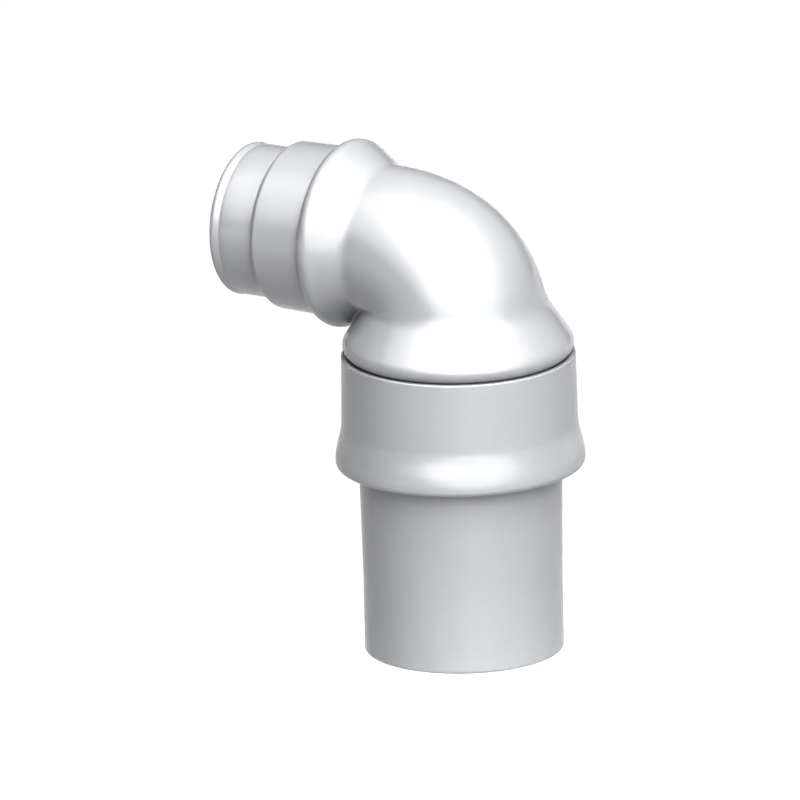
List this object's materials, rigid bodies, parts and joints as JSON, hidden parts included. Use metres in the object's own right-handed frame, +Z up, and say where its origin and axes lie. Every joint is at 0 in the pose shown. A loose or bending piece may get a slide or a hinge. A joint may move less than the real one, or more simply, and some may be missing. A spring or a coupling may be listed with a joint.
{
  "type": "flue elbow",
  "caption": "Push-fit flue elbow: an 80 mm outlet spigot in a beaded collar, a tapered swivelling bend and a stepped 60 mm inlet adaptor.",
  "frame": {"origin": "centre of the outlet spigot's open end, on the outlet axis", "axes": "+Z up along the outlet axis, from the spigot's open end to the bend; -X along the inlet arm; Y across"},
  "size_m": [0.1474, 0.1, 0.2039],
  "materials": {
    "moulding": "satin light grey polypropylene",
    "seal": "matt black EPDM",
    "spring": "plain stainless spring steel"
  },
  "bodies": {
    "spigot": {"outlet_spigot": "moulding"},
    "collar": {"outlet_collar": "moulding", "spigot_lip_seal": "seal", "seal_retainer": "moulding"},
    "elbow": {"elbow_body": "moulding", "swivel_o_ring": "seal", "swivel_snap_ring": "spring"},
    "inlet": {"inlet_adaptor": "moulding", "inlet_o_ring": "seal", "inlet_snap_ring": "spring"}
  },
  "joints": [
    {"name": "collar_slide", "type": "slide", "parent": "spigot", "child": "collar", "axis": [0, 0, 1], "range_m": [-0.004, 0.012]},
    {"name": "elbow_swivel", "type": "hinge", "parent": "collar", "child": "elbow", "pos_m": [0, 0, 0.115], "axis": [0, 0, 1], "continuous": true},
    {"name": "inlet_swivel", "type": "hinge", "parent": "elbow", "child": "inlet", "pos_m": [-0.0475, 0, 0.1659], "axis": [-1, 0, 0], "continuous": true}
  ]
}
